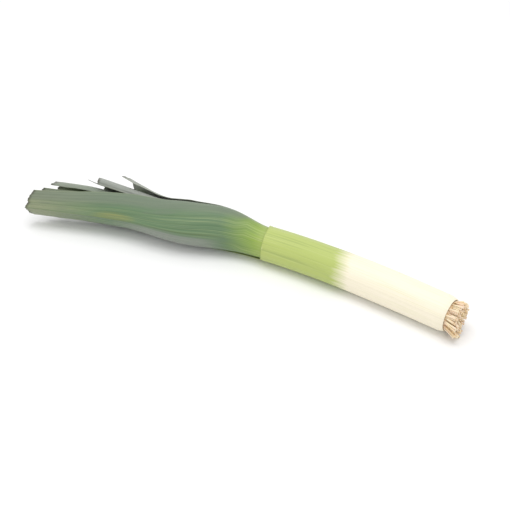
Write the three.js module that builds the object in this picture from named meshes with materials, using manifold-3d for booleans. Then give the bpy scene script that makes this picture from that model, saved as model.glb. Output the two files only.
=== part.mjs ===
// A leek lying on its side, in millimetres, +Z up, +X towards the roots.
// Every leaf is one closed body: a sheath tube that grows from the root plate and opens into a folded blade.
import * as THREE from "three";
import Module from "manifold-3d";

const wasm = await Module();
wasm.setup();

const DEG = Math.PI / 180;

// The shank.
const SHANK_RADIUS = 17.5;
const LEAF_PITCH = 1.85;
const SHEATH_THICKNESS = 1.35;
const BLADE_THICKNESS = 0.8;
const BASE_SQUEEZE = 0.1;
const BASE_ROUNDING = 7;
const SHANK_START = 8;
const BARREL_SQUEEZE = 0.03;
const BARREL_LENGTH = 80;

// The line the stem follows: a shallow bow, a dip where the leaves part, and a slow rise.
const BOW = 33.5;
const BOW_SPAN = 465;
const DIP = 9;
const DIP_CENTRE = 290;
const DIP_WIDTH = 45;
const SHANK_HEIGHT = 17.6;
const MIDDLE_RISE = 3.3;
const MIDDLE_RISE_SPAN = [196, 262];
const END_RISE = 1.5;
const END_RISE_SPAN = [330, 450];
const ROLL_AT_FAN = 18 * DEG;
const ROLL_LOST_BY_TIP = 15 * DEG;
const ROLL_SPAN = [250, 430];

// How the sections swell and fold beyond the shank.
const SWELL_SPAN = [198, 262];
const SWELL_UP = 6.3;
const SWELL_DOWN = 3.0;
const SWELL_PER_LEAF = 0.12;
const HUMP_UP = 3.6;
const HUMP_RISE_SPAN = [203, 243];
const HUMP_FALL_SPAN = [282, 322];
const THINNING_SPAN = [190, 230];
const HEART_EXTRA_THICKNESS = 0.5;
const MOUTH_CORNER = 14;
const FOLD_DEPTH = 24;
const FOLD_SHARPNESS = 0.22;
const KEEL_RIDGE = 1.2;
const KEEL_RIDGE_WIDTH = 9 * DEG;
const FAR_SIDE_TUCK = 0.45;
const END_BULGE = 4;
const DRIFT_LENGTH = 90;
const CURL_FROM = 18 * DEG;
const CURL_TO = 64 * DEG;
const HORN_FROM = 0.72;

// Stretches measured from a leaf's own mouth over which it moves off, folds, tucks in and gains its keel.
const SET_OFF_SPAN = [-8, 70];
const FOLD_SPAN = [10, 150];
const TUCK_SPAN = [10, 54];
const SHARPEN_SPAN = [30, 110];
const RIDGE_SPAN = [-10, 60];

// How the rows and columns of a leaf are shared out.
const FEWEST_BLADE_COLUMNS = 4;
const MARGIN_POWER = 1.2;
const BULGE_POWER = 4;
const BULGE_MEAN = 0.4;
const HORN_POWER = 8;
const FIRST_ROW_GAP = 1.5;
const ANGLE_SLACK = 1e-9;
const ANGLE_STEP = 0.01;
const LINE_STEP = 0.5;

// One row per leaf, from the outside in. side: where its keel lies, +1 front or -1 back. mouth and tip:
// distances along the stem. set_off, spread, from and drift: how its keel leaves the stem. curl: how far its
// upper margin rolls out. horn: how much longer its upper corner is. base_top, base_low, tip_top and
// tip_low: how far round from the keel the two margins are, in degrees.
const LEAVES = [
  { name: "leaf_1_back", side: -1, mouth: 199, tip: 364, set_off: 7.5, spread: 0.0052, from: 300, drift: 0,
    curl: 0, horn: 8.5, base_top: 36, base_low: 108, tip_top: 92, tip_low: 50, columns: 20, color: 0x8fa07a },
  { name: "leaf_2_front", side: 1, mouth: 222, tip: 452, set_off: 7, spread: 0, from: 290, drift: 0,
    curl: 0, horn: 0, base_top: 112, base_low: 112, tip_top: 50, tip_low: 52, columns: 18, color: 0x6f8f6c },
  { name: "leaf_3_back", side: -1, mouth: 240, tip: 392, set_off: 8, spread: 0.0014, from: 300, drift: 4,
    curl: 3, horn: 0, base_top: 112, base_low: 112, tip_top: 122, tip_low: 66, columns: 18, color: 0x8b9a88 },
  { name: "leaf_4_front", side: 1, mouth: 254, tip: 441, set_off: 3, spread: 0.0001, from: 300, drift: 0,
    curl: 0, horn: 0, base_top: 74, base_low: 112, tip_top: 62, tip_low: 66, columns: 18, color: 0x76926b },
  { name: "leaf_5_back", side: -1, mouth: 266, tip: 386, set_off: 5, spread: 0.0019, from: 300, drift: 0,
    curl: 2, horn: 20, base_top: 112, base_low: 112, tip_top: 62, tip_low: 66, columns: 16, color: 0x5f7a5e },
  { name: "leaf_6_front", side: 1, mouth: 276, tip: 430, set_off: 2, spread: 0, from: 300, drift: 0,
    curl: 0, horn: 0, base_top: 112, base_low: 112, tip_top: 66, tip_low: 66, columns: 16, color: 0x7f9c66 },
  { name: "leaf_7_back", side: -1, mouth: 284, tip: 438, set_off: 5, spread: 0, from: 315, drift: 17,
    curl: 0, horn: 1, base_top: 112, base_low: 112, tip_top: 90, tip_low: 66, columns: 16, color: 0x7d9a63 },
  { name: "leaf_8_heart", side: 1, mouth: 290, tip: 400, set_off: 1, spread: 0, from: 300, drift: 0,
    curl: 0, horn: 0, base_top: 112, base_low: 112, tip_top: 66, tip_low: 66, columns: 16, color: 0xa9bd73 },
];

// Distances along the stem at which every leaf has a row of vertices.
const STATIONS = [
  11, 16, 26, 45, 75, 105, 135, 165, 190, 203, 214, 224, 234, 244, 254, 264,
  276, 290, 305, 320, 340, 360, 380, 400, 425,
];
const STATION_MARGIN = 5;

// The root plate and the cut roots. The outline gives pairs of radius and distance along the stem.
const PLATE_RIM = 13.2;
const PLATE_THICKNESS = 2.6;
const PLATE_OUTLINE = [
  [0, -2.2],
  [8.5, -1.9],
  [11.6, -1.1],
  [12.9, 0],
  [PLATE_RIM, 1.6],
];
const PLATE_CORNER = 0.4;
const PLATE_SIDES = 24;
const CONE_SLOPE = 0.45;
const CONE_NARROWING = 0.95;
const PIECE_GAP = 0.3;
const ROOT_RINGS = [
  { count: 1, radius: 0 },
  { count: 6, radius: 3.6 },
  { count: 11, radius: 7.2 },
  { count: 16, radius: 10.6 },
];
const ROOT_RADIUS = 1.15;
const ROOT_SIDES = 6;
const ROOT_TAPER = 0.8;
const ROOT_OUT = 12.5;
const ROOT_SUNK = 1.6;
const ROOT_SPLAY = 0.16;
const ROOT_RING_TWIST = 0.37;
const ROOT_STEP = 0.5;
const ROOT_STEPS = 5;
const ROOT_RIM_LOSS = 0.12;
const WELD_DISTANCE = 1e-4;

// Runs smoothly from 0 at a to 1 at b.
function ease(x, a, b) {
  const t = Math.min(Math.max((x - a) / (b - a), 0), 1);
  return t * t * (3 - 2 * t);
}

// Keeps the sign of v while raising its size to a power.
function signedPower(v, power) {
  return Math.sign(v) * Math.abs(v) ** power;
}

// The share by which the shank is slimmer towards the root plate. Its underside stays straight.
function barrel(s) {
  return BARREL_SQUEEZE * (1 - ease(s, 0, BARREL_LENGTH));
}

// The point of the stem line at a distance s from the root plate.
function stemPoint(s) {
  const dip = DIP * Math.exp(-(((s - DIP_CENTRE) / DIP_WIDTH) ** 2));
  const y = BOW * Math.sin((Math.PI * s) / BOW_SPAN) - dip;
  const rise = MIDDLE_RISE * ease(s, ...MIDDLE_RISE_SPAN) + END_RISE * ease(s, ...END_RISE_SPAN);
  return new THREE.Vector3(-s, y, SHANK_HEIGHT - SHANK_RADIUS * barrel(s) + rise);
}

// The directions of the stem at s: along it, to the front and up.
function stemFrame(s) {
  const along = stemPoint(s + LINE_STEP).sub(stemPoint(s - LINE_STEP)).normalize();
  const front = new THREE.Vector3(0, 0, 1).cross(along).normalize();
  const up = along.clone().cross(front);
  return { front, up };
}

// How much the whole section narrows towards the root plate.
function narrowing(s) {
  const rounding = BASE_SQUEEZE * Math.max(0, 1 - (s - SHANK_START) / BASE_ROUNDING) ** 2;
  return 1 - barrel(s) - rounding;
}

function sheathRadius(order) {
  return SHANK_RADIUS - LEAF_PITCH * order;
}

// How far the top and the underside of a leaf reach from the stem line at s.
function reach(order, s) {
  const radius = sheathRadius(order);
  const swell = ease(s, ...SWELL_SPAN);
  const hump = HUMP_UP * ease(s, ...HUMP_RISE_SPAN) * (1 - ease(s, ...HUMP_FALL_SPAN));
  return {
    high: radius + (SWELL_UP + SWELL_PER_LEAF * order) * swell + hump,
    low: radius + (SWELL_DOWN + SWELL_PER_LEAF * order) * swell,
  };
}

// How far the keel of a leaf lies from the stem line at s.
function keelDistance(leaf, order, s) {
  const past = Math.max(0, s - leaf.from);
  const drift = leaf.drift * ease(s, leaf.from, leaf.from + DRIFT_LENGTH);
  const setOff = leaf.set_off * ease(s - leaf.mouth, ...SET_OFF_SPAN);
  return sheathRadius(order) + setOff + leaf.spread * past * past + drift;
}

// A leaf's section at s: how far the point at angle e lies towards the keel, and how high.
function sectionPoint(leaf, order, s, e) {
  const keel = keelDistance(leaf, order, s);
  const folded = ease(s - leaf.mouth, ...FOLD_SPAN);
  const depth = Math.min(keel, keel * (1 - folded) + FOLD_DEPTH * folded);
  const tuck = 1 - FAR_SIDE_TUCK * ease(s - leaf.mouth, ...TUCK_SPAN);
  const sharp = 1 + FOLD_SHARPNESS * ease(s - leaf.mouth, ...SHARPEN_SPAN);
  const ridge = KEEL_RIDGE * ease(s - leaf.mouth, ...RIDGE_SPAN) * Math.exp(-((e / KEEL_RIDGE_WIDTH) ** 2));
  const curl = leaf.curl * ease(e, CURL_FROM, CURL_TO) * ease(s, leaf.from, leaf.tip);
  const c = Math.cos(e);
  const n = Math.sin(e);
  const out = c >= 0 ? depth * c ** sharp : sheathRadius(order) * tuck * c;
  const { high, low } = reach(order, s);
  const height = (n >= 0 ? high : low) * (c >= 0 ? signedPower(n, sharp) : n);
  return { across: keel - depth + out + curl + ridge, height };
}

// Point of a leaf's outer face at distance s and angle e round from its keel (up is positive).
function leafPoint(leaf, order, s, e) {
  const { across, height } = sectionPoint(leaf, order, s, e);
  const roll = ROLL_AT_FAN - ROLL_LOST_BY_TIP * ease(s, ...ROLL_SPAN);
  const p = leaf.side * across * narrowing(s);
  const q = height * narrowing(s);
  const { front, up } = stemFrame(s);
  return stemPoint(s)
    .addScaledVector(front, p * Math.cos(roll) - q * Math.sin(roll))
    .addScaledVector(up, p * Math.sin(roll) + q * Math.cos(roll));
}

// The direction straight out of a leaf's outer face.
function leafNormal(leaf, order, s, e) {
  const ahead = leafPoint(leaf, order, s + LINE_STEP, e);
  const alongStem = ahead.sub(leafPoint(leaf, order, s - LINE_STEP, e));
  const upwards = leafPoint(leaf, order, s, e + ANGLE_STEP);
  const round = upwards.sub(leafPoint(leaf, order, s, e - ANGLE_STEP));
  return alongStem.cross(round).multiplyScalar(-leaf.side).normalize();
}

function thicknessAt(order, s) {
  const extra = order === LEAVES.length - 1 ? HEART_EXTRA_THICKNESS : 0;
  const thin = ease(s, ...THINNING_SPAN);
  const full = (SHEATH_THICKNESS + extra) * narrowing(s);
  return full * (1 - thin) + BLADE_THICKNESS * thin;
}

// Angles of the columns of one half, from the keel to the margin and on to the middle of the mouth.
function halfColumns(marginAngle, count) {
  const share = Math.round((count * (Math.PI - marginAngle)) / Math.PI);
  const cornerCount = Math.min(share, count - FEWEST_BLADE_COLUMNS);
  const flatCount = count - cornerCount;
  const angles = [];
  for (let i = 0; i <= flatCount; i++) angles.push((marginAngle * i) / flatCount);
  for (let i = 1; i <= cornerCount; i++) {
    angles.push(marginAngle + ((Math.PI - marginAngle) * i) / cornerCount);
  }
  return angles;
}

// How high the sheath reaches at angle e: the mouth in the middle, the corners at the margins.
function sheathTop(leaf, e) {
  const margin = (e >= 0 ? leaf.base_top : leaf.base_low) * DEG;
  if (Math.abs(e) <= margin + ANGLE_SLACK) return leaf.mouth + MOUTH_CORNER;
  const x = (Math.PI - Math.abs(e)) / (Math.PI - margin);
  return leaf.mouth + MOUTH_CORNER * (1 - Math.cbrt(1 - x ** 3));
}

// Where a leaf starts: the outermost at the shank's end, the others on the cone of the root plate.
function leafStart(order) {
  if (order === 0) return SHANK_START;
  const inner = (sheathRadius(order) - SHEATH_THICKNESS) * CONE_NARROWING;
  return SHANK_START + PIECE_GAP + plateCone(inner);
}

function plateCone(radius) {
  return PLATE_THICKNESS + (PLATE_RIM - radius) * CONE_SLOPE;
}

// Rows of [s, e] pairs of the sheath, one column per angle.
function sheathRows(leaf, order, angles) {
  const start = leafStart(order);
  const between = STATIONS.filter((s) => s > start + FIRST_ROW_GAP && s < leaf.mouth - STATION_MARGIN);
  const rows = [start, ...between].map((s) => angles.map((e) => [s, e]));
  rows.push(angles.map((e) => [sheathTop(leaf, e), e]));
  return rows;
}

// Rows of [s, e] pairs of the blade, from just above the sheath's corners to the cut end.
function bladeRows(leaf, angles) {
  const start = leaf.mouth + MOUTH_CORNER;
  const length = leaf.tip - start;
  const between = STATIONS.filter((s) => s > start + STATION_MARGIN && s < leaf.tip - STATION_MARGIN);
  return [...between, leaf.tip].map((s) => {
    const done = (s - start) / length;
    const kept = (1 - done) ** MARGIN_POWER;
    return angles.map((e) => {
      const base = (e >= 0 ? leaf.base_top : leaf.base_low) * DEG;
      const tip = (e >= 0 ? leaf.tip_top : leaf.tip_low) * DEG;
      const share = Math.abs(e) / base;
      const bulge = END_BULGE * done ** BULGE_POWER * (share ** 2 - BULGE_MEAN);
      const horn = leaf.horn * done ** HORN_POWER * ease(e / base, HORN_FROM, 1);
      return [s - bulge + horn, Math.sign(e) * share * (tip + (base - tip) * kept)];
    });
  });
}

// Turns an open sheet of faces into a closed body by adding an inner face and the edges.
function thicken(outer, inner, faces) {
  const count = outer.length;
  const index = [];
  const edges = new Map();
  for (const [a, b, c] of faces) {
    index.push(a, b, c, a + count, c + count, b + count);
    for (const [p, q] of [[a, b], [b, c], [c, a]]) edges.set(p * count + q, [p, q]);
  }
  for (const [p, q] of edges.values()) {
    if (edges.has(q * count + p)) continue;
    index.push(q, p, p + count, q, p + count, q + count);
  }
  const geometry = new THREE.BufferGeometry().setFromPoints([...outer, ...inner]);
  geometry.setIndex(index);
  geometry.computeVertexNormals();
  return geometry;
}

function leafGeometry(leaf, order) {
  const half = leaf.columns / 2;
  const uneven = Math.sign(leaf.base_low - leaf.base_top);
  const top = halfColumns(leaf.base_top * DEG, half + uneven);
  const low = halfColumns(leaf.base_low * DEG, half - uneven);
  const angles = [...low.slice(1, -1).reverse().map((e) => -e), ...top];
  const round = angles.length;
  const pairs = [];
  const faces = [];
  const quad = (a, b, c, d) => {
    if (leaf.side < 0) faces.push([a, b, c], [a, c, d]);
    else faces.push([a, c, b], [a, d, c]);
  };
  const rows = sheathRows(leaf, order, angles);
  rows.forEach((row) => pairs.push(...row));
  for (let i = 0; i + 1 < rows.length; i++) {
    for (let j = 0; j < round; j++) {
      const next = (j + 1) % round;
      quad(i * round + j, (i + 1) * round + j, (i + 1) * round + next, i * round + next);
    }
  }
  const isBlade = (e) => Math.abs(e) <= (e >= 0 ? leaf.base_top : leaf.base_low) * DEG + ANGLE_SLACK;
  const first = angles.findIndex(isBlade);
  const bladeAngles = angles.filter(isBlade);
  let previous = bladeAngles.map((_, j) => (rows.length - 1) * round + first + j);
  for (const row of bladeRows(leaf, bladeAngles)) {
    const current = row.map((_, j) => pairs.length + j);
    pairs.push(...row);
    for (let j = 0; j + 1 < current.length; j++) {
      quad(previous[j], current[j], current[j + 1], previous[j + 1]);
    }
    previous = current;
  }
  const outer = pairs.map(([s, e]) => leafPoint(leaf, order, s, e));
  const inner = pairs.map(([s, e], i) =>
    outer[i].clone().addScaledVector(leafNormal(leaf, order, s, e), -thicknessAt(order, s)),
  );
  return thicken(outer, inner, faces);
}

// A three.js geometry as a solid the boolean library can join.
function toSolid(geometry, matrix) {
  const moved = geometry.clone().applyMatrix4(matrix);
  const position = moved.getAttribute("position");
  const keys = new Map();
  const points = [];
  const remap = [];
  for (let i = 0; i < position.count; i++) {
    const point = [position.getX(i), position.getY(i), position.getZ(i)];
    const key = point.map((v) => Math.round(v / WELD_DISTANCE)).join();
    if (!keys.has(key)) {
      keys.set(key, points.length / 3);
      points.push(...point);
    }
    remap.push(keys.get(key));
  }
  const triangles = [];
  const index = moved.index.array;
  for (let i = 0; i < index.length; i += 3) {
    const [a, b, c] = [remap[index[i]], remap[index[i + 1]], remap[index[i + 2]]];
    if (a !== b && b !== c && c !== a) triangles.push(a, b, c);
  }
  return new wasm.Manifold(
    new wasm.Mesh({
      numProp: 3,
      vertProperties: new Float32Array(points),
      triVerts: new Uint32Array(triangles),
    }),
  );
}

function toGeometry(solid) {
  const mesh = solid.getMesh();
  const geometry = new THREE.BufferGeometry();
  geometry.setAttribute("position", new THREE.BufferAttribute(new Float32Array(mesh.vertProperties), 3));
  geometry.setIndex(new THREE.BufferAttribute(new Uint32Array(mesh.triVerts), 1));
  geometry.computeVertexNormals();
  return geometry;
}

// The root plate, a low cone inside the sheaths, with the short cut roots grown from its outer face.
// It is turned about its own axis, which lies along +Y before it is placed.
function rootPlateGeometry() {
  const corner = PLATE_RIM - PLATE_CORNER;
  const outline = [...PLATE_OUTLINE, [corner, plateCone(corner)], [0, plateCone(0)]];
  const profile = outline.map(([r, s]) => new THREE.Vector2(r, s));
  let solid = toSolid(new THREE.LatheGeometry(profile, PLATE_SIDES), new THREE.Matrix4());
  ROOT_RINGS.forEach((ring, ringNumber) => {
    for (let i = 0; i < ring.count; i++) solid = solid.add(rootSolid(ring, ringNumber, i));
  });
  return toGeometry(solid);
}

// One cut root of a ring, a little shorter or longer than the next.
function rootSolid(ring, ringNumber, i) {
  const turn = (2 * Math.PI * (i + ROOT_RING_TWIST * ringNumber)) / ring.count;
  const short = ROOT_STEP * ((7 * i + 3 * ringNumber) % ROOT_STEPS) + ROOT_RIM_LOSS * ring.radius;
  const length = ROOT_OUT - short + ROOT_SUNK;
  const root = new THREE.CylinderGeometry(ROOT_RADIUS, ROOT_RADIUS * ROOT_TAPER, length, ROOT_SIDES);
  const place = new THREE.Matrix4()
    .makeRotationY(turn)
    .multiply(new THREE.Matrix4().makeTranslation(ring.radius, 0, 0))
    .multiply(new THREE.Matrix4().makeRotationZ(ROOT_SPLAY * (ring.radius / PLATE_RIM)))
    .multiply(new THREE.Matrix4().makeTranslation(0, -length / 2, 0));
  return toSolid(root, place);
}

function material(color, roughness) {
  return new THREE.MeshStandardMaterial({ color, roughness, metalness: 0 });
}

function buildLeek() {
  const parts = new THREE.Group();
  const plate = new THREE.Mesh(rootPlateGeometry(), material(0xe6cfa6, 0.85));
  plate.name = "root_plate";
  const { front, up } = stemFrame(SHANK_START);
  const along = front.clone().cross(up);
  const basis = new THREE.Matrix4().makeBasis(up, along, front);
  plate.quaternion.setFromRotationMatrix(basis);
  plate.position.copy(stemPoint(SHANK_START));
  parts.add(plate);
  LEAVES.forEach((leaf, order) => {
    const mesh = new THREE.Mesh(leafGeometry(leaf, order), material(leaf.color, 0.6));
    mesh.name = leaf.name;
    parts.add(mesh);
  });
  const box = new THREE.Box3().setFromObject(parts, true);
  const middle = box.getCenter(new THREE.Vector3());
  parts.position.set(-middle.x, -middle.y, -box.min.z);
  const leek = new THREE.Group();
  leek.add(parts);
  return leek;
}

export default buildLeek();
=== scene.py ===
import bmesh
import bpy
import numpy as np
from bpy.props import FloatProperty, FloatVectorProperty, IntProperty, PointerProperty
from bpy.types import Operator, Panel, PropertyGroup
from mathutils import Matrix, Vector


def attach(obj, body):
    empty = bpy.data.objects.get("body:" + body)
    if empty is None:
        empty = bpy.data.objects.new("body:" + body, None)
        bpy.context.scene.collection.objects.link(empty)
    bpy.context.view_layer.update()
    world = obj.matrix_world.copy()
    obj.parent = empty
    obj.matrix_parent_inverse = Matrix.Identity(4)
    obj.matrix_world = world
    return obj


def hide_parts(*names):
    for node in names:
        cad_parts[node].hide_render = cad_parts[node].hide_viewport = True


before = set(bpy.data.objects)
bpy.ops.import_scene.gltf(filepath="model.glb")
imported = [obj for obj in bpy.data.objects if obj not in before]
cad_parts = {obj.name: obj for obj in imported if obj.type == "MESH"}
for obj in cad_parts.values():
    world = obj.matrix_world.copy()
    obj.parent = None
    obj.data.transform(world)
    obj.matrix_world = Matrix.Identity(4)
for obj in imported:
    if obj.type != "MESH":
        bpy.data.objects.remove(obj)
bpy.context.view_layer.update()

bl_info = {
    "name": "Leek",
    "version": (1, 0, 0),
    "blender": (4, 5, 0),
    "location": "View3D > Sidebar > Leek",
    "description": "Leaves, roots and studio stage of a trimmed leek",
    "category": "Object",
}

MM = 0.001
DEG = np.pi / 180.0
BODY = "root"

# The stem line and its sections, in millimetres, as the solid parts have them. A span is a stretch of it.
STEM_START = np.array([220.726, -23.684, -0.197])
SHANK_START = 8.0
SHANK_RADIUS = 17.5
LEAF_PITCH = 1.85
SHEATH_THICKNESS = 1.35
BLADE_THICKNESS = 0.8
EDGE_THICKNESS = 0.35
BASE_SQUEEZE = 0.1
BASE_ROUNDING = 7.0
BARREL_SQUEEZE = 0.03
BARREL_LENGTH = 80.0
BOW = 33.5
BOW_SPAN = 465.0
DIP = 9.0
DIP_CENTRE = 290.0
DIP_WIDTH = 45.0
SHANK_HEIGHT = 17.6
MIDDLE_RISE = 3.3
MIDDLE_RISE_SPAN = (196, 262)
END_RISE = 1.5
END_RISE_SPAN = (330, 450)
ROLL_AT_FAN = 18.0 * DEG
ROLL_LOST_BY_TIP = 15.0 * DEG
ROLL_SPAN = (250, 430)
SWELL_SPAN = (198, 262)
SWELL_UP = 6.3
SWELL_DOWN = 3.0
SWELL_PER_LEAF = 0.12
HUMP_UP = 3.6
HUMP_RISE_SPAN = (203, 243)
HUMP_FALL_SPAN = (282, 322)
THINNING_SPAN = (190, 230)
MOUTH_CORNER = 14.0
FOLD_DEPTH = 24.0
FOLD_SHARPNESS = 0.22
KEEL_RIDGE = 1.2
KEEL_RIDGE_WIDTH = 9.0 * DEG
FAR_SIDE_TUCK = 0.45
DRIFT_LENGTH = 90.0
CURL_SPAN = (18.0 * DEG, 64.0 * DEG)
PLATE_RIM = 13.2
PLATE_TOP = 2.9
PIECE_GAP = 0.3
START_PER_LEAF = 0.45
LINE_STEP = 0.5

# Stretches counted from a leaf's own mouth over which it moves off, folds, tucks in its far side, sharpens,
# gains its keel's ridge and thins at its edge, and the distance past the mouth where it counts as open.
SET_OFF_SPAN = (-8, 70)
FOLD_SPAN = (10, 150)
TUCK_SPAN = (10, 54)
SHARPEN_SPAN = (30, 110)
RIDGE_SPAN = (-10, 60)
EDGE_SPAN = (-6, 4)
OPEN_AFTER = 20

# How a leaf's grid is laid. The outer leaves, which show most, get the finer grid of columns and rows. The
# powers spread the margin's narrowing, the cut's shape and the thin edge over the leaf.
SHOWN_LEAVES = 2
FINE_GRID = (121, 230)
PLAIN_GRID = (81, 170)
CORNER_ROWS = 14
CORNER_POWER = 3
MARGIN_POWER = 1.2
END_BULGE = 4.0
BULGE_POWER = 4
BULGE_MEAN = 0.4
SCOOP_MEAN = 0.6
HORN_SPAN = (0.72, 1.0)
CUT_POWER = 8
EDGE_POWER = 8
LENGTH_STEP = 0.4
ANGLE_STEP = 0.01

# The unevenness of the leaves: teeth along the cut, a slow wave of the margins and low ribs.
WANDER_PITCH = 1.7
WANDER_FALL = 0.6
WANDER_SCALE = 1.8
TEETH_PITCH = 9
TEETH_WAVES = 6
TEETH_SEED = 11
WAVE_PITCH = 0.05
WAVE_SLANT = 2
WAVE_SEED = 31
RIB_PITCH = 46
RIB_SWAY = 0.6
RIB_SWAY_PITCH = 0.02
RIB_SEED = 51
RIBS_IN_SHANK = 0.2
RIBS_GAINED = 0.8

# Each leaf from the outside in. side, mouth, tip, set_off, spread, leaves_at, drift, curl, horn and the
# four margin angles are the solid part's. skew makes the upper corner of the cut longer, hollow scoops the
# cut, ragged is how far its teeth reach, lit_lip is how far its upper half is lightened to grey, a painted
# highlight on its waxy upper margin, dried_and_shaded is how many millimetres of its end are painted brown,
# a dried cut that on leaf_5 is painted shade, and shown is where the leaf comes out of the one before it.
LEAVES = [
    dict(node="leaf_1_back", side=-1, mouth=199, tip=364, set_off=7.5, spread=0.0052, leaves_at=300,
         drift=0, curl=0, horn=8.5, base=(36, 108), end=(92, 50),
         skew=0.0, hollow=0.0, ragged=0.8, lit_lip=0.85, dried_and_shaded=5, shown=118),
    dict(node="leaf_2_front", side=1, mouth=222, tip=452, set_off=7, spread=0, leaves_at=290,
         drift=0, curl=0, horn=0, base=(112, 112), end=(50, 52),
         skew=-1.5, hollow=-1.5, ragged=0.9, lit_lip=0, dried_and_shaded=4, shown=199),
    dict(node="leaf_3_back", side=-1, mouth=240, tip=392, set_off=8, spread=0.0014, leaves_at=300,
         drift=4, curl=3, horn=0, base=(112, 112), end=(122, 66),
         skew=0.0, hollow=0.0, ragged=0.7, lit_lip=0.9, dried_and_shaded=4, shown=225),
    dict(node="leaf_4_front", side=1, mouth=254, tip=441, set_off=3, spread=0.0001, leaves_at=300,
         drift=0, curl=0, horn=0, base=(74, 112), end=(62, 66),
         skew=1.0, hollow=1.0, ragged=1.2, lit_lip=0, dried_and_shaded=5, shown=240),
    # leaf_5's long dark end is painted shade for its unlit underside, not a dried cut.
    dict(node="leaf_5_back", side=-1, mouth=266, tip=386, set_off=5, spread=0.0019, leaves_at=300,
         drift=0, curl=2, horn=20, base=(112, 112), end=(62, 66),
         skew=0.0, hollow=0.0, ragged=0.8, lit_lip=0, dried_and_shaded=60, shown=250),
    dict(node="leaf_6_front", side=1, mouth=276, tip=430, set_off=2, spread=0, leaves_at=300,
         drift=0, curl=0, horn=0, base=(112, 112), end=(66, 66),
         skew=0.0, hollow=0.0, ragged=1.2, lit_lip=0, dried_and_shaded=5, shown=262),
    dict(node="leaf_7_back", side=-1, mouth=284, tip=438, set_off=5, spread=0, leaves_at=315,
         drift=17, curl=0, horn=1, base=(112, 112), end=(90, 66),
         skew=0.0, hollow=0.0, ragged=1.0, lit_lip=0.2, dried_and_shaded=7, shown=272),
    dict(node="leaf_8_heart", side=1, mouth=290, tip=400, set_off=1, spread=0, leaves_at=300,
         drift=0, curl=0, horn=0, base=(112, 112), end=(66, 66),
         skew=0.0, hollow=0.0, ragged=1.0, lit_lip=0, dried_and_shaded=5, shown=280),
]

# The clipped roots, in millimetres and radians. They stand on the plate in a sunflower spiral.
ROOT_SEED = 7
GOLDEN_TURN = 2.399963
TURN_SCATTER = 0.2
ROOT_BED = 13.4
ROOT_SHORTEST = 0.72
ROOT_LENGTH_SCATTER = 0.28
MIDDLE_ROOT_LENGTH = 1.04
OUTER_ROOT_LOSS = 0.14
LONG_ROOTS_AT = -40.0 * DEG
LONG_ROOTS_GAIN = 0.45
LONG_ROOTS_SPAN = (0, 13)
ROOT_SPLAY = 0.34
ROOT_LEAN_SCATTER = 0.12
ROOT_BEND = 1.6
ROOT_RADII = (0.55, 1.05)
ROOT_SUNK = 1.2
ROOT_RINGS = 7
ROOT_SIDES = 6
ROOT_FOOT_SIZE = 0.85
ROOT_TIP_GAIN = 0.25
ROOT_KNOB = 0.1
ROOT_KNOB_PITCH = 8
ROOT_SIDE_HINT = (0.13, 0.31, 0.94)
PARTING = 0.9
PARTING_AT = 1.0
PARTING_WIDTH = 3.0
PARTING_SPAN = (-3, 5)
ROOT_CLEARANCE = 0.3

# The root plate: pairs of radius and distance along the stem, turned about it. The first and last radius
# leave a pinhole that is filled later.
PINHOLE = 0.02
PLATE_PROFILE = np.array([
    [PINHOLE, -2.6],
    [4.0, -2.6],
    [8.0, -2.2],
    [12.0, -1.6],
    [PLATE_RIM, 0.2],
    [PLATE_RIM, 1.8],
    [12.6, 2.7],
    [8.0, 4.6],
    [PINHOLE, 8.0],
])
PLATE_GRID = (48, 40)
PLATE_LUMPS = 0.35
PLATE_LUMP_TURNS = 3
PLATE_LUMP_PITCH = 0.7
PLATE_LUMP_SEED = 3
PLATE_TONE = 0.25

# Angles in degrees past which an edge is drawn sharp.
LEAF_CREASE = 50
ROOT_CREASE = 70


def ease(x, a, b):
    """Runs smoothly from 0 at a to 1 at b: t * t * (3 - 2 t), with t the share of the way."""
    t = np.clip((x - a) / (b - a), 0.0, 1.0)
    return t * t * (3.0 - 2.0 * t)


def shifted(span, start):
    """A span counted from start, as the span it is in the whole."""
    return start + span[0], start + span[1]


def over(x, span, start=0):
    """Ease over a span whose two ends are counted from start."""
    return ease(x, *shifted(span, start))


def unit(v):
    """Each vector divided by its length."""
    return v / np.linalg.norm(v, axis=-1, keepdims=True)


def wander(x, seed, waves=5):
    """A smooth uneven curve: sines of rising pitch and falling height with seeded phases, about -1 to 1."""
    rng = np.random.default_rng(seed)
    total = np.zeros_like(np.asarray(x, float))
    for wave in range(waves):
        phase = rng.uniform(0, 2 * np.pi)
        total = total + np.sin(WANDER_PITCH**wave * x + phase) / (1 + WANDER_FALL * wave)
    return total / WANDER_SCALE


def barrel(s):
    """Share by which the shank is slimmer towards the root plate; its underside stays straight."""
    return BARREL_SQUEEZE * (1 - ease(s, 0, BARREL_LENGTH))


def stem_point(s):
    """Stem line at distance s: along -X, bowed by half a sine with a soft dip, and rising in two steps."""
    s = np.asarray(s, float)
    dip = DIP * np.exp(-(((s - DIP_CENTRE) / DIP_WIDTH) ** 2))
    y = BOW * np.sin(np.pi * s / BOW_SPAN) - dip
    z = SHANK_HEIGHT - SHANK_RADIUS * barrel(s)
    z = z + MIDDLE_RISE * over(s, MIDDLE_RISE_SPAN) + END_RISE * over(s, END_RISE_SPAN)
    return np.stack([-s, y, z], -1) + STEM_START


def stem_frame(s):
    """Unit directions of the stem at s: along it, to the front and up."""
    s = np.asarray(s, float)
    along = unit(stem_point(s + LINE_STEP) - stem_point(s - LINE_STEP))
    front = unit(np.cross(np.array([0.0, 0.0, 1.0]), along))
    return along, front, np.cross(along, front)


def narrowing(s):
    """Share of full size: a slight barrel over the shank and a rounded shoulder at the root plate."""
    return 1 - barrel(s) - BASE_SQUEEZE * np.maximum(0, 1 - (s - SHANK_START) / BASE_ROUNDING) ** 2


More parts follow.
